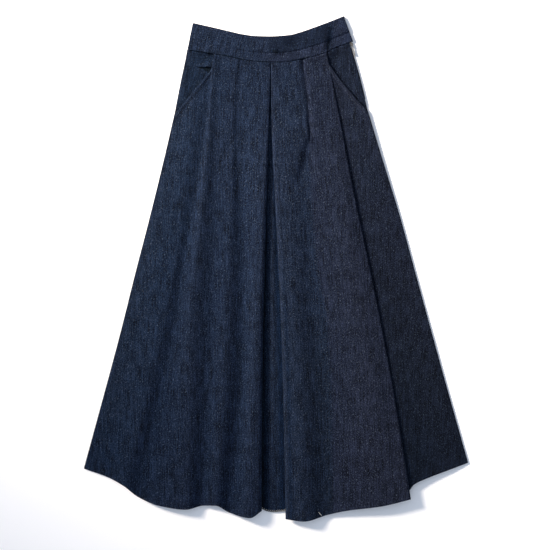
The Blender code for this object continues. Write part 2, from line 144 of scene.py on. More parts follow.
def denim(name, colours, redder=None):
    """Washed indigo denim: matt, with streaks of slub along the warp and a faint diagonal rib.

    colours and redder are pairs of a dark and a light dye. The cloth's map "dye" says how far the
    second pair takes over, and its other map holds wear mixed with painted light and shade, and
    then how deep the painted shade on it is.
    """
    material = bpy.data.materials.new(name)
    material.use_nodes = True
    tree = material.node_tree
    cut, wear_and_shade_map, dyed = (
        node(tree, "ShaderNodeUVMap", uv_map=own).outputs["UV"] for own in ("cut", "wear", "dye")
    )
    wear_and_shade_map, dyed = (node(tree, "ShaderNodeSeparateXYZ", {"Vector": v}).outputs for v in (wear_and_shade_map, dyed))

    def place(across, down, turn):
        return node(tree, "ShaderNodeMapping", {
            "Vector": cut, "Scale": (1 / (across * MM), 1 / (down * MM), 1.0),
            "Rotation": (0, 0, turn),
        }).outputs["Vector"]

    def grain(across, down, detail, turn):
        return node(tree, "ShaderNodeTexNoise", {
            "Vector": place(across, down, turn), "Scale": 1.0, "Detail": detail, "Roughness": 0.6,
        }, noise_dimensions="2D").outputs["Fac"]

    def weigh(value, share, base):
        terms = {0: value, 1: share, 2: base}
        return node(tree, "ShaderNodeMath", terms, operation="MULTIPLY_ADD").outputs[0]

    def blend(share, a, b, how="MIX"):
        ends = {"Factor": share, "A": a, "B": b}
        return node(tree, "ShaderNodeMix", ends, data_type="RGBA", blend_type=how).outputs["Result"]

    *size, share = WARP
    warp = grain(*size)
    tone = weigh(warp, share, TONE_BASE)
    for *size, share in (SLUB, NEP, MOTTLE):
        tone = weigh(grain(*size), share, tone)
    rib, turn, share = TWILL
    twill = node(tree, "ShaderNodeTexWave", {
        "Vector": place(rib, rib, turn), "Scale": 0.32, "Distortion": 1.2, "Detail": 1.0,
    }, wave_type="BANDS", bands_direction="X").outputs["Fac"]
    tone = weigh(twill, share, tone)
    tone = node(tree, "ShaderNodeMath", {0: tone, 1: 0.0}, operation="MAXIMUM", use_clamp=True)
    dark, light = (
        blend(dyed["X"], linear(first), linear(second))
        for first, second in zip(colours, redder or colours)
    )
    colour = blend(tone.outputs[0], dark, light)
    *size, share = GLINT
    first, full = GLINT_SPAN
    glint = node(tree, "ShaderNodeMapRange", {
        "Value": grain(*size), "From Min": first, "From Max": full, "To Max": share,
    }).outputs["Result"]
    colour = blend(glint, colour, linear(WEFT_COLOUR))
    # Painted light and shade: the wear map tints the colour, and its second value darkens it as
    # painted shade.
    wear = blend(wear_and_shade_map["X"], *(linear(code) for code in WEAR_AND_SHADE_COLOURS))
    colour = blend(1.0, colour, wear, "MULTIPLY")
    colour = blend(wear_and_shade_map["Y"], colour, linear(PAINTED_SHADE_COLOUR), "MULTIPLY")
    relief, strength, share = RELIEF
    bump = node(tree, "ShaderNodeBump", {
        "Height": weigh(twill, share, warp), "Strength": strength, "Distance": relief * MM,
    })
    shader = tree.nodes["Principled BSDF"]
    tree.links.new(colour, shader.inputs["Base Color"])
    tree.links.new(bump.outputs["Normal"], shader.inputs["Normal"])
    shader.inputs["Roughness"].default_value = 0.9
    shader.inputs["IOR"].default_value = 1.5
    shader.inputs["Specular IOR Level"].default_value = 0.03
    shader.inputs["Sheen Weight"].default_value = 0.02
    shader.inputs["Sheen Roughness"].default_value = 0.6
    shader.inputs["Sheen Tint"].default_value = linear(SHEEN_COLOUR)
    return material


def mix(a, b, share):
    return a + (b - a) * share


def ramp(value, start, end):
    """Smooth step from 0 at start to 1 at end, either of which may be the larger."""
    t = np.clip((value - start) / (end - start), 0.0, 1.0)
    return t * t * (3 - 2 * t)


def bell(distance, width):
    return np.exp(-(distance / width) ** 2)


def smooth_through(xs, ys, x):
    """Values at x of a smooth curve through the points, which never overshoots them."""
    xs, ys, x = (np.asarray(v, float) for v in (xs, ys, x))
    step = np.diff(xs)
    slope = np.diff(ys) / step
    before, after = slope[:-1], slope[1:]
    turning = before * after <= 0
    total = np.where(turning, 1.0, before + after)
    inner = np.where(turning, 0.0, 2 * before * after / total)
    tangent = np.concatenate((slope[:1], inner, slope[-1:]))
    i = np.clip(np.searchsorted(xs, x) - 1, 0, len(step) - 1)
    t = np.clip((x - xs[i]) / step[i], 0.0, 1.0)
    rise = ys[i + 1] - ys[i]
    bend = (tangent[i] * (1 - t) - tangent[i + 1] * t) * step[i] - rise * (1 - 2 * t)
    return ys[i] + rise * t + t * (1 - t) * bend


def along(table, x):
    """Values at x of the smooth curve through a table of (x, value) rows."""
    xs, ys = zip(*table)
    return smooth_through(xs, ys, x)


def back_rise(x):
    return BACK_RISE * np.maximum(0.0, 1 - (np.asarray(x) / HALF_WAIST) ** 2)


def fine_ends(cells, power):
    """Shares from 0 to 1 that crowd towards both ends."""
    t = np.linspace(-1.0, 1.0, cells + 1)
    return 0.5 + 0.5 * np.sign(t) * (1 - (1 - np.abs(t)) ** power)


def wear_and_shade_of(points):
    """Wear and painted shade: ridges have faded more than hollows, which also get painted shade,
    and hems are darker than hips as painted shade.
    """
    by_height = np.interp(points[..., 2], SHADE_AND_WEAR_Z, (HOLLOW_WEAR_AND_SHADE, 1.0))
    return by_height + np.interp(points[..., 1], HEM_DARKENING_Y, (HEM_DARKENING, 0.0))


def add_object(name, data):
    """Object at the origin of the scene."""
    thing = bpy.data.objects.new(name, data)
    bpy.context.collection.objects.link(thing)
    return thing


def add_mesh(name, shape, *materials):
    """Smooth object from a bmesh, which it uses up."""
    mesh = bpy.data.meshes.new(name)
    shape.to_mesh(mesh)
    shape.free()
    for material in materials:
        mesh.materials.append(material)
    mesh.shade_smooth()
    return add_object(name, mesh)


def lay_cloth(
    name, points, grain_column=0, wall=WALL, wear=0.0, painted_shade=0.0, shade=0.0, dye=0.0, materials=(),
):
    """Shell of cloth through rows of (x, y, z) points in mm, the row nearest the waist first.

    The warp runs straight down from the grain column, so the cut is laid out from that column.
    Further arguments add wear mixed with painted light and shade to what the cloth's place gives,
    then, from 0 to 1, painted shade where a fold keeps light off, painted shade by how deep the
    cloth lies in a seam, and how much redder it is dyed.
    """
    materials = materials or (face_denim, wrong_denim)
    rows, columns = points.shape[0] - 1, points.shape[1] - 1
    steps = np.linalg.norm(np.diff(points[..., ::2], axis=1), axis=2)
    across = np.pad(np.cumsum(steps, axis=1), ((0, 0), (1, 0)))
    across -= across[:, grain_column:grain_column + 1]
    sheet = bmesh.new()
    bmesh.ops.create_grid(sheet, x_segments=columns, y_segments=rows, size=0.5)
    cut = sheet.loops.layers.uv.new("cut")
    wear_and_shade_map = sheet.loops.layers.uv.new("wear")
    dyed = sheet.loops.layers.uv.new("dye")
    # Painted shade: the depth in a seam lowers the wear value and adds painted shade.
    wear = np.clip(wear_and_shade_of(points) + wear - SEAM_SHADE_DARKENING * shade, 0.0, 1.0)
    painted_shade = np.broadcast_to(np.maximum(painted_shade, SEAM_SHADE_CAST * shade), wear.shape)
    dye = np.broadcast_to(dye, wear.shape)
    for vert in sheet.verts:
        column = round((vert.co.x + 0.5) * columns)
        row = round((0.5 - vert.co.y) * rows)
        x, y, z = points[row, column]
        vert.co = ((x - MIDDLE[0]) * MM, (y - MIDDLE[1]) * MM, z * MM)
        for loop in vert.link_loops:
            loop[cut].uv = (across[row, column] * MM, y * MM)
            loop[wear_and_shade_map].uv = (wear[row, column], painted_shade[row, column])
            loop[dyed].uv = (dye[row, column], 0.0)
    piece = add_mesh(name, sheet, *materials)
    shell = piece.modifiers.new("thickness", "SOLIDIFY")
    shell.thickness = wall * MM
    shell.offset = 0.0
    shell.use_quality_normals = True
    shell.material_offset = len(materials) - 1
    edge = piece.modifiers.new("soft cut edge", "BEVEL")
    edge.width = EDGE_ROUNDING * wall * MM
    edge.segments = 2
    edge.limit_method = "ANGLE"
    edge.angle_limit = math.radians(60)
    return piece


def dress(cloth, points, *nodes, rests_on=(), with_pieces=()):
    """Attach a finished piece of cloth to the skirt's body, and hide the solids that it stands for.
    """
    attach(cloth, "skirt")
    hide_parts(*nodes)


face_denim = denim("indigo denim, right side", DENIM_COLOURS, REDDER_COLOURS)
wrong_denim = denim("indigo denim, wrong side", WRONG_COLOURS)

BACK_COLUMNS = 120
BACK_ROWS = 120
CROWDING = 1.7  # of the cells of a grid towards a side seam

levels = np.linspace(0.0, 1.0, BACK_ROWS + 1)[:, None]
share = fine_ends(BACK_COLUMNS, CROWDING)[None, :]
left_y = mix(LEFT_SIDE[-1][0], LEFT_SIDE[0][0], levels)
right_y = mix(RIGHT_SIDE[-1][0], RIGHT_SIDE[0][0], levels)
back_x = mix(along(LEFT_SIDE, left_y), along(RIGHT_SIDE, right_y), share)
top_x = mix(LEFT_SIDE[-1][1], RIGHT_SIDE[-1][1], share)
hem_x = mix(LEFT_SIDE[0][1], RIGHT_SIDE[0][1], share)
back_y = mix(along(WAIST_SEAM, top_x) + back_rise(top_x), along(BACK_HEM, hem_x), levels)
inset = np.minimum(back_x - back_x[:, :1], back_x[:, -1:] - back_x)
back_z = BACK_Z + SEAM_TURN * bell(inset, SEAM_TURN_WIDTH)
back_points = np.stack((back_x, back_y, back_z), axis=2)[:, ::-1]
back_cloth = lay_cloth("back_cloth", back_points, BACK_COLUMNS // 2)
dress(back_cloth, back_points, "back_panel")

# ------------------------------
# Folds of the front. The two halves of the front are gathered into soft flutes that widen to the
# hem. A centre pleat with two soft edges parts them, and beside it the right half has a pleat
# that is stitched down for a hand's width and a knife pleat that runs to the hem.
SECOND_Z = 2.25  # height of the middle of the layer on the back panel
THIRD_Z = 3.85  # and of the layer on that one
LAYER = 1.3  # rise from one close layer to the next
STATIONS = (0.0, 0.12, 0.3, 0.45, 0.6, 0.8, 1.0)  # shares of the way down to the hem

# Each fold: name, y of its top and hem, then its place across and its height at the stations.
LEFT_FOLDS = (
    ("side seam", 313, -409.5,
     (-207, -227, -259, -287, -314, -352, -391.5), (3.9, 3.9, 2.6, 2.4, 2.3, 2.3, 2.3)),
    ("hip", 344.5, -427,
     (-182, -201, -230, -254, -278, -310, -342), (3.9, 4.1, 4.2, 4.2, 4, 4.2, 4.2)),
    ("low ridge", 370, -444,
     (-161, -171, -190, -206, -230, -268, -310), (5, 6.6, 6.4, 6.4, 7.4, 8.6, 9.8)),
    ("low trough", 408, -467,
     (-130.4, -142, -166, -188, -207, -243, -281), (3.9, 4, 3.9, 3.7, 3.8, 4, 4.4)),
    ("flank", 424, -485,
     (-128.2, -136, -155, -172, -189, -211, -236), (4.1, 5.4, 6.4, 8, 8.6, 9.2, 11.6)),
    ("outer pleat", 445, -492,
     (-126, -132, -147, -160, -173, -178, -182), (4.3, 6.6, 9, 10.8, 12.4, 13.8, 16)),
    ("outer trough", 445, -485,
     (-118, -119, -123, -127, -131, -140, -148), (4.4, 5, 4.6, 5.2, 5.6, 6, 6.2)),
    ("inner pleat", 445, -484,
     (-80, -87, -90, -95, -100, -109, -122), (4.9, 6, 7.2, 9.2, 10.8, 12.8, 13.6)),
    ("inner trough", 445, -499,
     (-72, -78, -73, -67, -67, -76, -94), (4.4, 4.2, 3.6, 3.8, 4, 4.2, 4.8)),
    ("centre ridge", 445, -509,
     (-27, -24, -30, -35, -38, -44, -51), (5.5, 7.6, 11, 12.8, 14.2, 15.8, 18)),
    ("centre edge", 445, -495,
     (-9.2, -12, -17, -21, -25, -27, -27.5), (5.5, 7.4, 11.2, 12.8, 14, 15.4, 17)),
)
RIGHT_FOLDS = (
    ("centre edge", 445, -512,
     (-7.6, -6.5, 0.7, 8, 14, 19, 22.3), (5.5, 7.6, 11, 12.4, 13.5, 14.2, 14.6)),
    ("centre ridge", 445, -516,
     (6, 18, 27, 33, 39, 52, 59), (5.6, 8, 11.8, 13.5, 14.8, 17, 18.4)),
    ("inner pleat", 445, -504,
     (53.7, 67, 70, 77, 89, 104, 107), (5.4, 7.4, 8.2, 7.2, 7.4, 7.4, 6.8)),
    ("shoulder", 445, -495,
     (61.5, 75, 95, 109, 124, 141, 146), (5.6, 7.4, 9.4, 9.6, 10, 11, 12.2)),
    ("outer ridge", 445, -485,
     (88, 112, 137, 160, 180, 202, 219), (6.2, 7.6, 10.8, 13.2, 14.8, 16.8, 17.6)),
    ("knife edge", 450, -471,
     (104.5, 127, 158.5, 187, 215, 248, 277), (6.4, 7, 8.3, 9.5, 11.2, 14, 18)),
)
KNIFE_FOLDS = (
    ("turned edge", 445, -483,
     (90.5, 109.4, 135, 159, 182, 207, 231), (3.6, 3.6, 2.3, 2.3, 2.3, 2.3, 2.4)),
    ("under the edge", 433, -453,
     (100, 122, 153, 181, 209, 243, 275), (3.6, 3.6, 3.4, 5.2, 7, 9.6, 11)),
    ("pocket top", 424, -442,
     (105.8, 133.5, 166, 192, 218, 251, 283.5), (5.6, 4.4, 3.8, 5.2, 7, 9.4, 10.6)),
    ("hip", 386, -427,
     (134, 156, 189, 216, 243, 279, 316), (4.2, 4, 4, 4.6, 5.8, 7.4, 8.2)),
    ("outer hip", 350, -411,
     (164, 187, 221, 250, 280, 319, 359), (5.3, 4.3, 3.4, 3.6, 4.2, 5, 5.6)),
    ("side seam", 321, -397.4,
     (191, 217, 256.6, 286, 315.5, 355, 395.6), (5.2, 3.9, 2.6, 2.4, 2.3, 2.3, 2.3)),
)
PLEAT_DEPTH = (18.0, 62.0)  # cloth turned under, at the waist and the hem
TURNED_LIFT = 0.6  # of the turned cloth at the hem
TIGHTEST_BEND = 0.75  # radius
ROLL_SHAPE = 2.2  # width of a soft edge against half its height
FOLD_CELL = 3.0  # width of a cell of the grid at the hem
ROLL_CELLS = 14
TURNED_CELLS = 6
UNDER_ROLL_CELLS = 8

# Rows of the fronts' grids, as shares of the way to the hem, closer at both ends.
ROWS = np.concatenate((
    (0.0, 0.0007, 0.0016, 0.0028, 0.0042, 0.0056, 0.007, 0.0085, 0.0102, 0.0125, 0.0155),
    np.arange(0.019, 0.12, 0.0042), np.linspace(0.121, 0.9955, 135), (0.998, 1.0),
))


def at_rows(stations):
    """Column of values at every row, from the values at the stations."""
    return smooth_through(STATIONS, stations, ROWS)[:, None]


def fold_places(folds):
    """Fold lines of the cloth: x and z, then its rows, then its folds."""
    return np.stack([np.hstack([at_rows(fold[k]) for fold in folds]) for k in (3, 4)])


def open_stretch(lines, crowd=None):
    """Cloth in soft ridges through the fold lines: x and z, then its rows, then its columns."""
    across, height = lines
    last = across.shape[1] - 2
    columns = []
    for i in range(last + 1):
        cells = max(4, round((across[-1, i + 1] - across[-1, i]) / FOLD_CELL))
        shares = np.arange(cells) / cells
        if crowd == "first" and i == 0:
            shares = shares ** CROWDING
        if crowd == "last" and i == last:
            shares = 1 - (1 - shares) ** CROWDING
        columns += [mix(across[:, i], across[:, i + 1], s) for s in shares]
    x = np.stack(columns + [across[:, -1]], axis=1)
    return np.stack((x, [smooth_through(*row) for row in zip(across, height, x)]))


def half_roll(x, upper, lower, side, cells):
    """Half an ellipse round an edge that faces side (+1 right, -1 left), from its top down."""
    x, upper, lower = (v[:, None] for v in (x, upper, lower))
    half = (upper - lower) / 2
    width = np.minimum(half * half / TIGHTEST_BEND, ROLL_SHAPE * half)
    angle = np.linspace(0.0, math.pi, cells + 1)
    return np.stack((x - side * width * (1 - np.sin(angle)), lower + half * (1 + np.cos(angle))))


def straight(start, end, cells):
    """Cloth that lies flat from the line start to the line end, without start itself."""
    return mix(start[..., None], end[..., None], np.arange(1, cells + 1) / cells)


def turned_under(x, z, side):
    """Soft edge of the centre pleat and the cloth turned under it, from the top layer inwards."""
    roll = half_roll(x, z, THIRD_Z + TURNED_LIFT * ROWS, side, ROLL_CELLS)
    inner = np.stack((x - side * mix(*PLEAT_DEPTH, ROWS), np.full_like(ROWS, THIRD_Z)))
    return roll, straight(roll[..., -1], inner, TURNED_CELLS)


def hang(stretches, folds):
    """Join stretches of cloth and give them their y, from the seam or pocket edge to the hem."""
    x, z = np.concatenate(stretches, axis=2)
    _, tops, hems, places, _ = zip(*folds)
    pocket = np.interp(x[0], [place[0] for place in places], tops)
    hem = smooth_through([place[-1] for place in places], hems, x[-1])
    y = mix(np.minimum(pocket, along(WAIST_SEAM, x[0])), hem, ROWS[:, None])
    return np.stack((x, y, z), axis=2)


def steps_of(path):
    """A path as an array, its steps' directions and lengths, and how far it ran before each."""
    path = np.asarray(path, float)
    steps = np.diff(path, axis=0)
    lengths = np.linalg.norm(steps, axis=1)
    return path, steps / lengths[:, None], lengths, np.concatenate(([0.0], np.cumsum(lengths)))


def distance_to(points, path):
    """Distance of points to a path, which side of it they lie on, and their share along it."""
    path, ways, lengths, before = steps_of(path)
    offset = points[..., None, :2] - path[:-1]
    run = np.clip((offset * ways).sum(axis=-1), 0.0, lengths)
    far = np.linalg.norm(offset - run[..., None] * ways, axis=-1)
    side = np.sign(ways[:, 0] * offset[..., 1] - ways[:, 1] * offset[..., 0])
    share = (before[:-1] + run) / before[-1]
    nearest = far.argmin(axis=-1)[..., None]
    return tuple(np.take_along_axis(v, nearest, axis=-1)[..., 0] for v in (far, side, share))


def crease(points, path, depth, left, right, fade=(0.25, 0.35)):
    """Soft trough, or ridge if depth is positive, along a path that runs towards the hem.

    left and right are its half-widths, and fade the shares over which its two ends die out.
    """
    bends = np.linspace(0.0, len(path) - 1.0, 6 * (len(path) - 1) + 1)
    xs, ys = zip(*path)
    smooth = np.stack([smooth_through(range(len(path)), v, bends) for v in (xs, ys)], axis=1)
    far, side, share = distance_to(points, smooth)
    width = np.where(side > 0, right, left)
    ends = ramp(share, 0.0, fade[0]) * ramp(share, 1.0, 1 - fade[1])
    return depth * bell(far, width) * ends


def creases(points, lines):
    return sum(crease(points, *line) for line in lines)


def unevenness(points, seed, rise=0.22, scale=38.0):
    """Slight random waviness of worn cloth, in mm."""
    offset = Vector((seed * 17.3, seed * 5.1, seed * 2.7))
    flat = points.reshape(-1, 3)
    waves = [noise.noise(Vector((x / scale, y / (2.2 * scale), 0.0)) + offset) for x, y, _ in flat]
    return rise * np.array(waves).reshape(points.shape[:2])


# ------------------------------
# Left half of the front, from the side seam to the centre pleat. Its top edge is sewn into the
# waistband, and its slanted edge, turned under and topstitched, is the mouth of the pocket.
LEFT_POCKET = ((-126, 446), (-128.2, 424), (-130.4, 408.3), (-161, 370), (-182, 344.5), (-207, 313))
HEM_OF_POCKET = 6.5  # from the pocket edge to its topstitching
POCKET_TOP_SHADE = (((-126.5, 443), (-127.5, 430)), 0.9, 1.6, 1.6, (0.2, 0.5))  # painted shade at the top of the pocket mouth, given as a crease
POCKET_END = 0.03  # share of the mouth where the edge flattens
DITCH = (1.9, 1.5)  # depth and width of the dip into the waist seam
WAIST_LIFT = 1.3  # rise of the cloth to the waistband
LIFT_REACH = 7.0
SHADE_WIDTH = 1.7  # of the painted shade line in the waist seam
SHADE_LEAST = 0.15  # where it nearly breaks
POCKET_LIP = (0.6, 0.7)  # drop and width of its turned edge
POCKET_LAYER = (1.2, 1.8)  # rise of its two layers, and width of their step
POCKET_GROOVE = (0.9, 1.5)  # depth and width of the topstitching's groove


def side_turn(x, edge):
    """Dip of the cloth's edge into the side seam."""
    return -SEAM_TURN * bell(x - edge[:, None], SEAM_TURN_WIDTH)


def waist_ditch(points, lift=WAIST_LIFT):
    """Top edge: a rise to the waistband and a ditch that the stitches pull, unevenly."""
    x = points[..., 0]
    gap = along(WAIST_SEAM, x) - points[..., 1]
    depth, width = DITCH
    pull = 1 + 0.9 * np.sin(x / 1.3 + 2.0 * np.sin(x / 17.0)) * np.sin(x / 9.3 + 1)
    return lift * bell(gap, LIFT_REACH) - depth * pull * bell(gap, width)


def seam_shade(points):
    """Painted shade of the waist seam: how deep the cloth lies in it, here more and there less."""
    x = points[..., 0]
    gap = along(WAIST_SEAM, x) - points[..., 1]
    shaded = np.clip(0.6 + 0.6 * np.sin(x / 7.5 + 2.0 * np.sin(x / 23.0)), SHADE_LEAST, 1.0)
    return shaded * bell(gap, SHADE_WIDTH)


def pocket_edge(points, path):
    """Turned edge of a pocket: a soft lip, and two layers as far as its stitching."""
    far, _, share = distance_to(points, path)
    (drop, lip), (rise, step), (depth, groove) = POCKET_LIP, POCKET_LAYER, POCKET_GROOVE
    layers = rise * ramp(far, HEM_OF_POCKET + step, HEM_OF_POCKET)
    shape = layers - drop * bell(far, lip) - depth * bell(far - HEM_OF_POCKET, groove)
    return shape * ramp(share, 1.0, 1 - POCKET_END)


LEFT_CREASES = (
    (((-71.8, 428.5), (-73, 340), (-75.9, 222.9)), -0.8, 2, 3.2, (0.01, 0.6)),
    (((-120.5, 447), (-121, 420), (-122, 385)), 0.8, 3, 4, (0.01, 0.5)),
    (((-104, 432), (-106, 411), (-108, 385)), -0.35, 3, 4, (0.01, 0.6)),
    (((-90, 430), (-92, 415), (-93, 400)), 0.3, 3.5, 3.5, (0.01, 0.6)),
    (((-52, 423), (-53, 405), (-51, 380)), -0.3, 3, 3, (0.01, 0.6)),
    (((-33, 421), (-34, 404), (-36, 370)), -0.3, 3.5, 3, (0.01, 0.6)),
    (((-150, 375), (-166, 320), (-178, 262)), -0.5, 7, 9, (0.3, 0.6)),
    (((-140, 240), (-148, 190), (-154, 120)), -0.4, 8, 8, (0.4, 0.5)),
    (((-255, -60), (-268, -130), (-276, -220)), -0.7, 12, 10, (0.4, 0.5)),
    (((-86, 286), (-92, 260), (-102, 235), (-110, 212)), -2, 8, 10, (0.3, 0.5)),
)
SIDE_WEAR = 0.5  # beside the seam, where the skirt rubs
SIDE_WEAR_REACH = (30.0, 75.0)  # its width, at the waist and the hem
WAIST_RUB = 0.9  # share of it at the waist; full from half way down
SIDE_WEAR_ROWS = (1.15, 0.75)  # where it would end, and starts to weaken
HEM_EDGE = (0.7, 0.003)  # wear on the turned hem, and its share of the length
LEFT_DYE = 0.3  # redder away from the side
LEFT_DYE_SPAN = (60.0, 140.0)  # from the side, where that starts and is full

lines = fold_places(LEFT_FOLDS)
roll, turned = turned_under(*lines[..., -1], 1)
lines[..., -1] = roll[..., 0]
top_layer = open_stretch(lines, crowd="first")
left_open = top_layer.shape[2]
left_points = hang((top_layer, roll[..., 1:], turned), LEFT_FOLDS)
raised = left_points[:, :left_open]
left_points[:, :left_open, 2] += (
    side_turn(raised[..., 0], raised[:, 0, 0]) + waist_ditch(raised)
    + pocket_edge(raised, LEFT_POCKET) + unevenness(raised, 1) + creases(raised, LEFT_CREASES)
)
down = ROWS[:, None]
inward = left_points[..., 0] - left_points[:, :1, 0]
rubbed = bell(inward, mix(*SIDE_WEAR_REACH, down)) * mix(WAIST_RUB, 1.0, ramp(down, 0.0, 0.5))
hem_edge_wear = HEM_EDGE[0] * bell(1 - down, HEM_EDGE[1])
front_left_cloth = lay_cloth(
    "front_left_cloth", left_points, left_open,
    wear=SIDE_WEAR * rubbed * ramp(down, *SIDE_WEAR_ROWS) + hem_edge_wear,
    shade=np.maximum(seam_shade(left_points), crease(left_points, *POCKET_TOP_SHADE)),
    dye=LEFT_DYE * ramp(inward, *LEFT_DYE_SPAN),
)

# ------------------------------
# Right half of the front, one piece from under the centre pleat, over the ridges, round the knife
# edge and under it, and out to the side seam. The stitched pleat is a tuck sewn from the inside.
RIGHT_POCKET = ((104, 448), (108, 424), (134.2, 386), (164.4, 350), (190.8, 321))
RIGHT_CREASES = (
    (((53.7, 430), (63, 355), (71, 266)), -2.7, 0.9, 7, (0.01, 0.03)),
    (((71, 264), (67.5, 243), (62, 222), (56, 198), (45, 174), (24, 142)),
     -3.8, 9, 20, (0.02, 0.6)),
    (((74, 268), (85, 250), (95, 230), (99, 203), (102, 176)), -2.6, 6, 12, (0.05, 0.7)),
    (((10, 421), (12, 404), (11, 380)), -0.3, 3, 3, (0.01, 0.6)),
    (((29, 422), (31, 400), (36, 360)), -0.4, 3.5, 3, (0.01, 0.6)),
    (((42, 423), (45, 405), (49, 378)), 0.3, 3, 3, (0.01, 0.6)),
    (((80, 434), (83, 415), (88, 385)), -0.35, 4, 4, (0.01, 0.6)),
    (((150, 60), (170, -20), (182, -120)), -0.6, 10, 12, (0.5, 0.5)),
    (((60, -40), (76, -130), (84, -240)), -0.7, 8, 12, (0.5, 0.5)),
)
RIGHT_DYE = (0.4, 0.1)  # from the centre to the stitched pleat, at the waist and the hem
DYE_LINE = (52, 66, 74, 86, 108, 116, 118)  # x where it gets full, at the stations
DYE_SPAN = (-5.0, 5.0)  # from that line, where it starts and is full
TROUGH_SHADE = 0.3  # painted shade in the trough, left of that line and towards the hem
TROUGH_SPAN = (-80.6, -18.6)  # the same for that
TROUGH_ROWS = (0.45, 0.7)  # and as a share of the way down
EDGE_SHADE = 0.6  # painted shade on the centre pleat's soft edge, which dims its highlight
EDGE_REACH = 3.0
EDGE_ROWS = (0.35, 0.65)
RIGHT_HEM_LIGHT = 0.2  # painted light: lighter towards the hem, more than the left half has
RIDGE_SHADE = 0.25  # painted shade at the knife edge; none at the pleat
PLEAT_SHADE = (0.35, 0.35, 0.4, 0.5, 0.55, 0.6, 0.6)  # painted shadow of the knife pleat beside it, at the stations
PLEAT_SHADOW_DARKENING = (0.0, -0.6)  # darkening under the pleat's edge, as painted shadow, at the waist and the hem
UNDER_CREASES = (
    (((178, 318), (206, 225), (236, 120)), -0.4, 6, 6, (0.3, 0.6)),
    (((236, 60), (262, -60), (290, -190)), -0.5, 8, 9, (0.4, 0.5)),
)

lines = fold_places(RIGHT_FOLDS)
under_lines = fold_places(KNIFE_FOLDS)
roll, turned = turned_under(*lines[..., 0], -1)
knife_low = under_lines[1, :, 2] + LAYER + TURNED_LIFT * ROWS
knife = half_roll(*lines[..., -1], knife_low, 1, ROLL_CELLS)
inner_x, inner_low = under_lines[..., 0]
inner_turn = half_roll(inner_x, inner_low + LAYER, inner_low, -1, UNDER_ROLL_CELLS)
lines[..., 0], lines[..., -1] = roll[..., 0], knife[..., 0]
under_lines[..., 0] = inner_turn[..., -1]
top_layer = open_stretch(lines)
back_run = straight(knife[..., -1], inner_turn[..., 0], TURNED_CELLS)
top_points = hang((
    turned[..., ::-1], roll[..., :0:-1], top_layer, knife[..., 1:], back_run,
    inner_turn[..., 1:-1],
), RIGHT_FOLDS)
under_points = hang((open_stretch(under_lines, crowd="last"),), KNIFE_FOLDS)
first_open = turned.shape[2] + roll.shape[2] - 1
last_open = first_open + top_layer.shape[2]
raised = top_points[:, first_open:last_open]
top_points[:, first_open:last_open, 2] += (
    waist_ditch(raised) + unevenness(raised, 2) + creases(raised, RIGHT_CREASES)
)
under_points[..., 2] += (
    side_turn(under_points[..., 0], under_points[:, -1, 0])
    + pocket_edge(under_points, RIGHT_POCKET) + unevenness(under_points, 3, rise=0.15)
    + creases(under_points, UNDER_CREASES)
)
right_points = np.concatenate((top_points, under_points), axis=1)
right_x = right_points[..., 0]
columns = np.arange(right_x.shape[1])
under_start = top_points.shape[1]
past = right_x - at_rows(DYE_LINE)
redder = ramp(past, *DYE_SPAN)
redder[:, under_start:] = 1.0
# Painted shade: in the trough by the centre pleat, towards the knife edge, and in the knife pleat's
# shadow.
trough = (1 - redder) * ramp(past, *TROUGH_SPAN) * ramp(down, *TROUGH_ROWS)
painted_shade = np.maximum(TROUGH_SHADE * trough, RIDGE_SHADE * columns / (under_start - 1))
painted_shade[:, under_start:] = at_rows(PLEAT_SHADE)
# Painted shade on the centre pleat's edge, and painted light towards the hem.
edge_shade = EDGE_SHADE * bell(right_x - right_x[:, first_open:first_open + 1], EDGE_REACH)
wear = RIGHT_HEM_LIGHT * down + hem_edge_wear - edge_shade * ramp(down, *EDGE_ROWS)
out_from_pleat = np.linspace(1.0, 0.0, len(columns) - under_start)
wear[:, under_start:] = mix(*PLEAT_SHADOW_DARKENING, down) * out_from_pleat
front_right_cloth = lay_cloth(
    "front_right_cloth", right_points, first_open, wear=wear, painted_shade=painted_shade,
    shade=seam_shade(right_points), dye=mix(mix(*RIGHT_DYE, down), 1.0, redder),
)

# ------------------------------
# Topstitching of the pocket edges, in navy thread, and a loose end of white thread that was left
# at the hem of the right half.
STITCH_MM = 3.0
STITCH_GAP_MM = 0.9
STITCH_SHAPE = ((0.0, 0.5), (0.25, 0.1), (0.75, 0.1), (1.0, 0.5))  # run, and depth in the cloth
THREAD_RADIUS = 0.28
LOOSE_RADIUS = 0.45
LOOSE_END = ((89.5, -498), (92.5, -501.5), (95, -504.5), (98, -508))


def plain(name, colour, roughness, metallic=0.0):
    """A material of one colour, for pieces that are too small to show a grain."""
    material = bpy.data.materials.new(name)
    material.use_nodes = True
    shader = material.node_tree.nodes["Principled BSDF"]
    shader.inputs["Base Color"].default_value = linear(colour)
    shader.inputs["Roughness"].default_value = roughness
    shader.inputs["Metallic"].default_value = metallic
    return material


def threads(name, strands, radius, material):
    """Round threads, each through its own list of (x, y, z) points in mm."""
    curve = bpy.data.curves.new(name, "CURVE")
    curve.dimensions = "3D"
    curve.bevel_depth = radius * MM
    curve.bevel_resolution = 1
    curve.use_fill_caps = True
    for strand in strands:
        spline = curve.splines.new("POLY")
        spline.points.add(len(strand) - 1)
        for point, (x, y, z) in zip(spline.points, strand):
            point.co = ((x - MIDDLE[0]) * MM, (y - MIDDLE[1]) * MM, z * MM, 1.0)
    curve.materials.append(material)
    piece = add_object(name, curve)
    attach(piece, "skirt")
    return piece


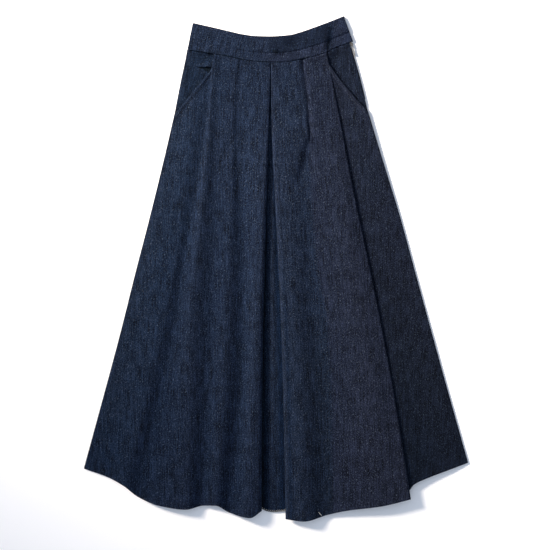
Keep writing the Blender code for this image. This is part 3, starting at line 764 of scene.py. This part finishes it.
def top_of(cloth):
    """A function that gives the height of the cloth's upper side at (x, y), in mm."""
    bpy.context.view_layer.update()
    laid = cloth.evaluated_get(bpy.context.evaluated_depsgraph_get())

    def height_at(x, y):
        above = Vector(((x - MIDDLE[0]) * MM, (y - MIDDLE[1]) * MM, 0.1))
        return laid.ray_cast(above, Vector((0, 0, -1)))[1].z / MM

    return height_at


def topstitch(name, cloth, path, side):
    """Row of stitches beside a pocket's edge. side is +1 if the cloth is left of the path's run."""
    height_at = top_of(cloth)
    path, ways, _, before = steps_of(path)
    strands = []
    for start in np.arange(STITCH_MM, before[-1] - 2 * STITCH_MM, STITCH_MM + STITCH_GAP_MM):
        strand = []
        for reach, sunk in STITCH_SHAPE:
            run = start + reach * STITCH_MM
            i = min(int(np.searchsorted(before, run, side="right")), len(ways)) - 1
            x, y = path[i] + (run - before[i]) * ways[i]
            x -= side * HEM_OF_POCKET * ways[i][1]
            y += side * HEM_OF_POCKET * ways[i][0]
            strand.append((x, y, height_at(x, y) - sunk))
        strands.append(strand)
    return threads(name, strands, THREAD_RADIUS, navy_thread)


navy_thread = plain("navy sewing thread", "#111826", 0.8)
white_thread = plain("white sewing thread", "#D2D0C6", 0.8)
left_stitches = topstitch("left_pocket_stitches", front_left_cloth, LEFT_POCKET[1:], 1)
right_stitches = topstitch("right_pocket_stitches", front_right_cloth, RIGHT_POCKET[1:], -1)
height_at = top_of(front_right_cloth)
loose_end = [(x, y, height_at(x, y) + 0.3) for x, y in LOOSE_END]
loose_thread = threads("loose_thread_end", [loose_end], LOOSE_RADIUS, white_thread)
on_back = ["back_cloth"]
sewn = [left_stitches]
dress(front_left_cloth, left_points, "front_left", rests_on=on_back, with_pieces=sewn)
sewn = [right_stitches, loose_thread]
dress(front_right_cloth, right_points, "front_right", rests_on=on_back, with_pieces=sewn)

# ------------------------------
# Underlay of the centre pleat: a strip of the same denim behind the pleat's two edges. Only its
# middle shows, in the gap that opens towards the hem, and its raw hem is overlocked.
UNDERLAY_HEM = (
    (-90, -492), (-27.5, -492.3), (-16.4, -497), (0, -498.7), (21.9, -496.4), (85, -494.6),
)
UNDERLAY_COLUMNS = 60
UNDERLAY_CREASES = (
    (((-5, 330), (-5, 100), (-4, -200), (-6, -500)), 1.5, 4, 5, (0.4, 0.02)),
    (((10, -60), (11, -300), (13, -500)), 0.4, 4, 4, (0.4, 0.02)),
)
# Lightness of the underlay where no shade is painted.
UNDERLAY_LIGHTNESS = 0.5
LEFT_SHADE = (1, 1.5, 3, 8.5, 11, 14, 17)  # width of the painted shadow by the left edge, at the stations
RIGHT_SHADE = (1, 3, 7, 14, 16, 18, 20)
OVERLOCK_MM = 4.2  # pitch of the loops
OVERLOCK_DEPTH = 4.5  # in from the raw edge
OVERLOCK_RADIUS = 0.22
OVERLOCK_LOOP = (  # the rest of one: along the hem, in from its edge and up from its top
    (0.3, 0.3, 0.15), (0.5, -0.35, -0.6), (0.8, 0.2, -1.35), (1.2, 2, -1.4), (1.7, 0.2, -1.35),
    (1.9, -0.35, -0.6), (2.1, 0.3, 0.15),
)
OVERLOCK_RUN = (-84.0, 78.0)

left_edge, right_edge = at_rows(LEFT_FOLDS[-1][3]), at_rows(RIGHT_FOLDS[0][3])
depth = mix(*PLEAT_DEPTH, down)
share = np.linspace(0.0, 1.0, UNDERLAY_COLUMNS + 1)[None, :]
x = mix(left_edge - depth, right_edge + depth, share)
y = mix(along(WAIST_SEAM, x[0]), along(UNDERLAY_HEM, x[-1]), down)
underlay_points = np.stack((x, y, np.full_like(x, SECOND_Z)), axis=2)
underlay_points[..., 2] += creases(underlay_points, UNDERLAY_CREASES)
# Painted shadow cast by the left edge, and painted shade by the right edge.
by_left = ramp(x, left_edge + at_rows(LEFT_SHADE), left_edge)
by_right = ramp(x, right_edge - at_rows(RIGHT_SHADE), right_edge)
underlay_cloth = lay_cloth(
    "underlay_cloth", underlay_points, UNDERLAY_COLUMNS // 2,
    wear=mix(UNDERLAY_LIGHTNESS, -1.0, np.maximum(by_left, by_right)), painted_shade=by_left,
)
height_at = top_of(underlay_cloth)
loops = []
for x in np.arange(*OVERLOCK_RUN, OVERLOCK_MM):
    edge = float(along(UNDERLAY_HEM, x))
    top = height_at(x, edge + 1.0)
    inner = edge + OVERLOCK_DEPTH
    loops += [(x, inner, height_at(x, inner) + 0.1)]
    loops += [(x + run, edge + into, top + up) for run, into, up in OVERLOCK_LOOP]
overlock = threads("hem_overlock", [loops], OVERLOCK_RADIUS, white_thread)
sewn = [overlock]
dress(underlay_cloth, underlay_points, "pleat_underlay", rests_on=on_back, with_pieces=sewn)

# ------------------------------
# Hip facings: the pieces of denim behind the pocket mouths, sewn into the waistband and the side
# seams. The left one gapes in a short tuck at the corner of its pocket, and the right one lies
# over the edge of the zip.
FACING_LEFT_INNER = ((-100, 437), (-108.6, 390.8))
FACING_RIGHT_INNER = ((84, 438), (86, 406))
FACING_FOOT = 290.0
FACING_DARKENING = -0.25  # darker, as painted shade of the recessed facings
FACING_SHADE = (0.3, 0.45)  # painted shade, left and right
FACING_COLUMNS = 90
FACING_CROWDING = 1.3
FACING_ROWS = np.unique(np.concatenate((
    (0.005, 0.011), np.linspace(0.0, 1.0, 61), np.linspace(0.1, 0.5, 121),
)))
FACING_RUB = (0.8, 9.0)  # wear beside the side seam, and its width
ZIP_LIFT = 1.3  # of the right facing over the zip tape
LIFT_ACROSS = (26.0, 14.0)  # from the side, where it starts and is full
LIFT_DOWN = (328.0, 343.0)  # y of its foot, and where it is full
OPEN_FROM = (132.0, 105.5)  # mouths of the pockets, from the middle
OPEN_RAMP = 6.0  # width of the facing's rise to the waistband
GAPE_ENDS = ((-158, 412.6), (-131.5, 407.6))  # its middle, from its point to the pocket
GAPE_HALF = (1.0, 5.0)  # half its height there
GAPE_LIPS = 3.6  # height of its lips
GAPE_REACH = 6.5  # where they have flattened
GAPE_EDGE = 0.9  # width of their edge
GAPE_RISE = (-0.3, 0.4)  # shares of its run over which they rise
GAPE_STOP = (1.1, 1.0)  # and where they have ended, and start to
GAPE_START = (-0.05, 0.05)  # where the painted shadow inside it starts and is full
LEFT_FACING_CREASES = (
    (((-172, 420), (-181, 370), (-194, 322)), -0.4, 5, 6, (0.3, 0.5)),
    (((-140, 440), (-143, 430), (-146, 420)), -0.4, 3, 3, (0.01, 0.5)),
    (((-155, 443), (-157, 434), (-158, 424)), 0.35, 3, 3, (0.01, 0.5)),
)
RIGHT_FACING_CREASES = (
    (((108, 452), (110, 440), (113, 426)), 2.6, 2.5, 10, (0.01, 0.4)),
    (((152, 424), (155, 400), (157, 384)), 0.8, 3, 3, (0.3, 0.3)),
    (((143, 452), (150, 415), (163, 372)), -0.5, 4, 3, (0.1, 0.4)),
    (((124, 445), (130, 420), (140, 392)), -0.5, 5, 5, (0.1, 0.4)),
)


def facing(side, inner, lines):
    """Points of a facing, rows down from the waist and columns from its side edge inwards."""
    down = FACING_ROWS[:, None]
    share = fine_ends(FACING_COLUMNS, FACING_CROWDING)[None, :]
    outer_y = mix(side[-1][0], FACING_FOOT, down)
    inner_x, inner_y = (mix(inner[0][i], inner[1][i], down) for i in (0, 1))
    x = mix(along(side, outer_y), inner_x, share)
    y = mix(outer_y, inner_y, share)
    y += (along(WAIST_SEAM, x[0]) - y[0]) * (1 - down)
    points = np.stack((x, y, np.full_like(x, SECOND_Z)), axis=2)
    mouth = OPEN_FROM[side is RIGHT_SIDE]
    lift = WAIST_LIFT * ramp(abs(x), mouth, mouth + OPEN_RAMP)
    points[..., 2] += waist_ditch(points, lift) + side_turn(x, x[:, 0]) + creases(points, lines)
    points[..., 2] = np.maximum(points[..., 2], BACK_Z + WALL)
    return points


left_facing = facing(LEFT_SIDE, FACING_LEFT_INNER, LEFT_FACING_CREASES)
(point_x, point_y), (mouth_x, mouth_y) = GAPE_ENDS
run = (left_facing[..., 0] - point_x) / (mouth_x - point_x)
half = mix(*GAPE_HALF, ramp(run, 0.0, 1.0))
outside = abs(left_facing[..., 1] - mix(point_y, mouth_y, run)) - half
lips = GAPE_LIPS * ramp(run, *GAPE_RISE) * ramp(run, *GAPE_STOP) * ramp(outside, 0.0, GAPE_EDGE)
left_facing[..., 2] += lips * bell(np.maximum(outside, 0), GAPE_REACH)
# Painted shadow inside the gape.
gape_shadow = ramp(outside, GAPE_EDGE / 2, -GAPE_EDGE / 2) * ramp(run, *GAPE_START)
rub = bell(left_facing[..., 0] - left_facing[:, :1, 0], FACING_RUB[1])
facing_left_cloth = lay_cloth(
    "facing_left_cloth", left_facing, wear=FACING_DARKENING + FACING_RUB[0] * rub - gape_shadow,
    painted_shade=mix(FACING_SHADE[0] * (1 - rub), 1.0, gape_shadow),
    shade=np.maximum(seam_shade(left_facing), crease(left_facing, *POCKET_TOP_SHADE)),
)
dress(facing_left_cloth, left_facing, "hip_facing_left", rests_on=on_back)

right_facing = facing(RIGHT_SIDE, FACING_RIGHT_INNER, RIGHT_FACING_CREASES)
inward = right_facing[:, :1, 0] - right_facing[..., 0]
lift = ramp(inward, *LIFT_ACROSS) * ramp(right_facing[..., 1], *LIFT_DOWN)
right_facing[..., 2] += ZIP_LIFT * lift
right_facing = right_facing[:, ::-1]
facing_right_cloth = lay_cloth(
    "facing_right_cloth", right_facing, wear=FACING_DARKENING, painted_shade=FACING_SHADE[1],
    shade=seam_shade(right_facing), dye=1.0,
)
dress(facing_right_cloth, right_facing, "hip_facing_right", rests_on=on_back)

# ------------------------------
# Waistband: one strip of denim folded lengthwise at its top edge, that runs round the left side
# and ends at the zip. Above the seam allowances, which are pressed up inside it, it puffs out.
WAIST_TOP = (
    (-170, 504.2), (-136.1, 496), (-100.4, 487), (-64.2, 478.4), (-41, 475.3), (-10.2, 474.3),
    (29.9, 477.1), (50.2, 482.4), (75.8, 491.3), (111.9, 505.2), (140.8, 517.3),
)
BAND_BOTTOM = (-179.6, 159.8)
BAND_TOP = (-168.5, 140.8)
BAND_HEIGHTS = (
    (-180, 4.3), (-126, 5.7), (-71, 5.9), (-9, 6.3), (54, 6.4), (98, 6.8), (124, 4.7), (160, 4),
)
BAND_BACK_Z = 1.3
BAND_WALL = 1.0
BAND_LAYERS = 0.75  # from the band's middle to a layer's
BAND_COLUMNS = 170
BAND_TURN = 12  # cells round the left side
ALLOWANCE = (0.35, 0.41)  # share of the height where they end
PUFF_TOP = (1.0, 0.6)  # where the puff starts and is full
BAND_SHADE = 0.7  # painted shade of the waist seam, on the band
OPEN_END = (0.6, 40.0)  # thickness at the zip, and how fast it grows
BAND_PUFF = ((-180, 0.4), (-110, 0.6), (-72, 1.3), (0, 1.8), (60, 1.8), (100, 1), (160, 1.2))
BAND_SLACK = ((-48, 8), (130, 100))  # x where it is slack, at its start and end
SLACK_DARKENING = -0.5  # darker there, as less wear and as painted shade where the band curves away from the light
SLACK_SHADE = 0.3
BAND_DENTS = (  # sharp dents, darkened with painted shade
    (((114, 498), (113, 472), (109, 460), (107, 446)), 0.5, 4.5, 4.5, (0.1, 0.05)),
    (((-9, 447), (0, 445), (6, 438)), 1, 3, 3, (0.3, 0.2)),
)
BAND_DYE = ((-180, 0.25), (-50, 0.3), (0, 0.8), (160, 0.9))
BAND_CREASES = (
    (((2, 449), (12, 440.5), (22, 433)), -2, 1.8, 5, (0.25, 0.35)),
    (((117, 503), (116, 478), (113, 462), (110, 446)), -2.1, 6, 15, (0.3, 0.05)),
    (((40, 476), (36, 460), (32, 446)), -3.2, 15, 20, (0.3, 0.4)),
    (((-150, 478), (-110, 466), (-70, 458)), -0.8, 5, 7, (0.4, 0.4)),
    (((-128, 490), (-124, 474), (-122, 460)), -0.7, 8, 10, (0.4, 0.4)),
    (((-60, 472), (-54, 458), (-52, 446)), -0.8, 9, 12, (0.4, 0.4)),
    (((60, 470), (78, 472), (96, 480)), 0.7, 5, 6, (0.4, 0.4)),
    (((118, 470), (136, 478), (158, 486)), -0.9, 3, 5, (0.3, 0.05)),
)

# Its round: the back from right to left, the turn, and the front from left to right.
cell = np.arange(2 * BAND_COLUMNS + BAND_TURN + 1)
from_turn = abs(cell - BAND_COLUMNS - BAND_TURN / 2) - BAND_TURN / 2
round_share = np.maximum(from_turn, 0.0) / BAND_COLUMNS
turn = np.clip((cell - BAND_COLUMNS) / BAND_TURN, 0.0, 1.0)
outward_x, outward_z = -np.sin(math.pi * turn), -np.cos(math.pi * turn)
turn_radius = (BAND_HEIGHTS[0][1] - BAND_BACK_Z) / 2
margin = turn_radius + BAND_LAYERS + BAND_WALL / 2
low_x = mix(BAND_BOTTOM[0] + margin, BAND_BOTTOM[1], round_share)
high_x = mix(BAND_TOP[0] + margin, BAND_TOP[1], round_share)
middle_x = turn_radius * outward_x
front_z = along(BAND_HEIGHTS, low_x)
middle_z = mix(BAND_BACK_Z, front_z, (1 + outward_z) / 2)
low_y = along(WAIST_SEAM, low_x) + back_rise(low_x) * (1 - turn)
high_y = along(WAIST_TOP, high_x) + back_rise(high_x) * (1 - turn)
open_end = np.minimum(1.0, OPEN_END[0] + OPEN_END[1] * (1 - round_share))

# Its section, from the inner layer's lower edge over the fold to the seam: share of the height,
# and distance outwards from its middle, in layers.
section = [(s, -1.0) for s in np.linspace(0.02, 0.96, 12)]
section += [(0.975 + 0.016 * math.sin(a), -math.cos(a)) for a in np.linspace(0.3, math.pi - 0.3, 7)]
section += [(s, 1.0) for s in np.linspace(0.96, 0.03, 46)]
section += [(0.015, 0.75), (0.004, 0.1), (0.006, -0.35)]
band_rows = []
for height_share, layers in section:
    out = BAND_LAYERS * layers * open_end
    if layers == 1.0:
        puff = ramp(height_share, *ALLOWANCE) * ramp(height_share, *PUFF_TOP)
        out = out + along(BAND_PUFF, low_x) * puff * turn
    band_rows.append(np.stack((
        mix(low_x, high_x, height_share) + middle_x + outward_x * out,
        mix(low_y, high_y, height_share),
        middle_z + outward_z * out,
    ), axis=1))
band_points = np.stack(band_rows)
front = turn == 1.0
band_points[..., 2] += creases(band_points, BAND_CREASES) * front
band_x = band_points[..., 0]
heights = np.array([height_share for height_share, _ in section])[:, None]
slack = ramp(band_x, *BAND_SLACK[0]) * ramp(band_x, *BAND_SLACK[1]) * ramp(heights, *ALLOWANCE)
# Painted shade in the waist seam and the dents, and darker slack parts of the band.
shaded = np.maximum(BAND_SHADE * seam_shade(band_points), creases(band_points, BAND_DENTS)) * front
waistband_cloth = lay_cloth(
    "waistband_cloth", band_points, len(round_share) // 2, wall=BAND_WALL,
    wear=SLACK_DARKENING * slack - shaded, painted_shade=np.maximum(SLACK_SHADE * slack, shaded),
    dye=along(BAND_DYE, band_x),
)
dress(waistband_cloth, band_points, "waistband_front", "waistband_back")

# ------------------------------
# Zip in the right-hand side seam, closed: woven tape with its nylon coil at the edge of the seam,
# and a metal slider. The slider lies on its side, so from above only its edge shows.
TAPE = 1.0  # thickness
TAPE_Z = 2.1
TAPE_ROWS = 60
TAPE_COLUMNS = 8
TAPE_SPAN = (-7.0, 0.6)  # from the side seam
ZIP_TOP = 453.6
ZIP_END = 348.0
COIL_MM = 1.1  # pitch of the teeth
COIL_RADIUS = 0.28
COIL_LOOP = ((-0.5, 0.55), (0.45, 0.3), (0.45, -0.3), (-0.5, -0.55))  # outward, and up
SLIDER_TOP = (153.9, 463.6)
SLIDER_SLOPE = math.radians(-74.4)
SLIDER_Z = 2.8
SLIDER_SIZE = (8.4, 2.6, 4.2)  # along the zip, outward, up
PLATE = 0.8  # thickness of its two plates
PIVOT = (4.2, 3.6)  # along the zip and outward
POST = (1.6, 2.2, 1.2)  # joins the plates: place along the zip, length, height
NARROW_END = 0.72  # share of the height at the far end
BRIDGE_RADIUS = 1.4
BRIDGE_SUNK = 0.5  # depth of its feet in the plate
BRIDGE_WIRE = 0.42
SLIDER_EDGE = 0.25  # rounding

y = np.linspace(ZIP_TOP, ZIP_END, TAPE_ROWS + 1)[:, None]
x = along(RIGHT_SIDE, y) + np.linspace(*TAPE_SPAN, TAPE_COLUMNS + 1)[None, :]
y = np.broadcast_to(y, x.shape)
tape_points = np.stack((x, y, np.full_like(x, TAPE_Z)), axis=2)
tape_cloth = plain("navy woven zip tape", "#151B28", 0.9)
zip_tape_woven = lay_cloth("zip_tape_woven", tape_points, wall=TAPE, materials=(tape_cloth,))
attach(zip_tape_woven, "skirt")
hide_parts("zip_tape")
coil = []
for i in range(int((ZIP_TOP - ZIP_END) / COIL_MM)):
    y = ZIP_TOP - COIL_MM * i
    edge = float(along(RIGHT_SIDE, y)) + TAPE_SPAN[1]
    coil += [
        (edge + out, y - COIL_MM * k / len(COIL_LOOP), TAPE_Z + up)
        for k, (out, up) in enumerate(COIL_LOOP)
    ]
zip_coil = threads("zip_coil", [coil], COIL_RADIUS, plain("black nylon coil", "#0B0D12", 0.45))

slider_frame = (
    Matrix.Translation((SLIDER_TOP[0] - MIDDLE[0], SLIDER_TOP[1] - MIDDLE[1], SLIDER_Z))
    @ Matrix.Rotation(SLIDER_SLOPE, 4, "Z")
)


def hard_piece(name, shape, material, frame, bevel):
    """Object from a bmesh in mm, in the axes of frame, with rounded edges."""
    bmesh.ops.transform(shape, matrix=Matrix.Scale(MM, 4) @ frame, verts=shape.verts)
    piece = add_mesh(name, shape, material)
    rounding = piece.modifiers.new("rounded edges", "BEVEL")
    rounding.width = bevel * MM
    rounding.segments = 3
    rounding.limit_method = "ANGLE"
    rounding.harden_normals = True
    return piece


def block(shape, centre, size):
    """Add a box to a bmesh and return its corners."""
    corners = bmesh.ops.create_cube(shape, size=1.0)["verts"]
    bmesh.ops.scale(shape, verts=corners, vec=size)
    bmesh.ops.translate(shape, verts=corners, vec=centre)
    return corners


brass = plain("worn zip metal", "#7C7464", 0.4, 1.0)
length, depth, height = SLIDER_SIZE
body = bmesh.new()
for middle in (PLATE / 2, depth - PLATE / 2):
    for corner in block(body, (length / 2, middle, 0.0), (length, PLATE, height)):
        if corner.co.x > length / 2:
            corner.co.z *= NARROW_END
block(body, (POST[0], depth / 2, 0.0), (POST[1], depth - PLATE, POST[2]))
slider_body = hard_piece("slider_body", body, brass, slider_frame, SLIDER_EDGE)
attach(slider_body, "skirt")
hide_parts("zip_slider")
arch = [(PIVOT[0] - BRIDGE_RADIUS, depth - BRIDGE_SUNK, 0.0)]
arch += [
    (PIVOT[0] - BRIDGE_RADIUS * math.cos(a), PIVOT[1] + BRIDGE_RADIUS * math.sin(a), 0.0)
    for a in np.linspace(0.0, math.pi, 13)
]
arch += [(PIVOT[0] + BRIDGE_RADIUS, depth - BRIDGE_SUNK, 0.0)]
arch = [tuple(slider_frame @ Vector(point) + Vector((*MIDDLE, 0.0))) for point in arch]
slider_bridge = threads("slider_bridge", [arch], BRIDGE_WIRE, brass)

# ------------------------------
# Pull tab of the zip: a drop-shaped plate with an eye, that swings on the slider's bridge.
TAB_THICKNESS = 0.9
TAB_TILT = math.radians(-2.5)
TAB_EDGE = 0.22  # rounding
TAB_EYE = (0.45, 3.2, 2.4)  # start and end along the tab, and width
TAB_OUTLINE = (  # along the tab, and half its width
    (-0.45, 2.1), (3.8, 2.1), (6.5, 1.4), (10, 1.2), (15, 1.5), (20, 2), (23.5, 2), (25.2, 1.4),
    (26, 0.5),
)

start, end, width = TAB_EYE
corners = [*TAB_OUTLINE[:2], (start, width / 2), (end, width / 2), *TAB_OUTLINE[2:]]
plate = bmesh.new()
one, two = (
    [plate.verts.new((run, 0.0, side * half)) for run, half in corners] for side in (1, -1)
)
round_eye = [
    (one[0], one[1], one[3], one[2]), (two[1], two[0], two[2], two[3]),
    (two[0], one[0], one[2], two[2]), (one[3], one[1], two[1], two[3]),
]
shank = [1, *range(4, len(corners))]
for face in round_eye + [(one[a], one[b], two[b], two[a]) for a, b in zip(shank, shank[1:])]:
    plate.faces.new(face)
bmesh.ops.recalc_face_normals(plate, faces=plate.faces)
tab_frame = slider_frame @ Matrix.Translation((*PIVOT, 0.0)) @ Matrix.Rotation(TAB_TILT, 4, "Z")
pull_tab = hard_piece("pull_tab", plate, brass, tab_frame, TAB_EDGE)
wall = pull_tab.modifiers.new("thickness", "SOLIDIFY")
wall.thickness = TAB_THICKNESS * MM
wall.offset = 0.0
pull_tab.modifiers.move(1, 0)
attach(pull_tab, "zip_pull")
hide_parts("zip_pull_tab")

# ------------------------------
# Surface, light and camera: a plain pale floor, a large soft light from the upper left and a pale
# studio round it, seen from straight above.
FLOOR_HALF = 6.0
FLOOR_COLOUR = "#FAFAF8"
PICTURE_WIDTH = 1.1255  # what the picture's width covers, metres
PICTURE_MIDDLE = (-0.003, -0.0135)
CAMERA_HEIGHT = 3.8
LENS_SENSOR = 36.0
LIGHT_PLACE = (-3.9, 2.4, 2.05)
LIGHT_AIM = (0.4, 0.42, 0.0)
LIGHT_SIZE = 1.6
LIGHT_SPREAD = 31.0
LIGHT_POWER = 50.0
LIGHT_COLOUR = "#FFF1E4"
STUDIO_COLOUR = "#DCE7FB"
STUDIO_STRENGTH = 0.72

plane = bmesh.new()
bmesh.ops.create_grid(plane, x_segments=1, y_segments=1, size=FLOOR_HALF)
floor = add_mesh("floor", plane, plain("pale matt surface", FLOOR_COLOUR, 0.9))

lamp = bpy.data.lights.new("window light", "AREA")
lamp.shape = "DISK"
lamp.size = LIGHT_SIZE
lamp.spread = math.radians(LIGHT_SPREAD)
lamp.energy = LIGHT_POWER
lamp.color = linear(LIGHT_COLOUR)[:3]
light = add_object("window light", lamp)
light.location = LIGHT_PLACE
light.rotation_euler = (Vector(LIGHT_PLACE) - Vector(LIGHT_AIM)).to_track_quat("Z", "Y").to_euler()

world = bpy.data.worlds.new("pale studio")
world.use_nodes = True
backdrop = world.node_tree.nodes["Background"]
backdrop.inputs["Color"].default_value = linear(STUDIO_COLOUR)
backdrop.inputs["Strength"].default_value = STUDIO_STRENGTH
bpy.context.scene.world = world
bpy.context.scene.view_settings.view_transform = "Standard"

lens = bpy.data.cameras.new("camera")
lens.sensor_fit = "HORIZONTAL"
lens.sensor_width = LENS_SENSOR
lens.lens = LENS_SENSOR * CAMERA_HEIGHT / PICTURE_WIDTH
camera = add_object("camera", lens)
camera.location = (*PICTURE_MIDDLE, CAMERA_HEIGHT)
bpy.context.scene.camera = camera
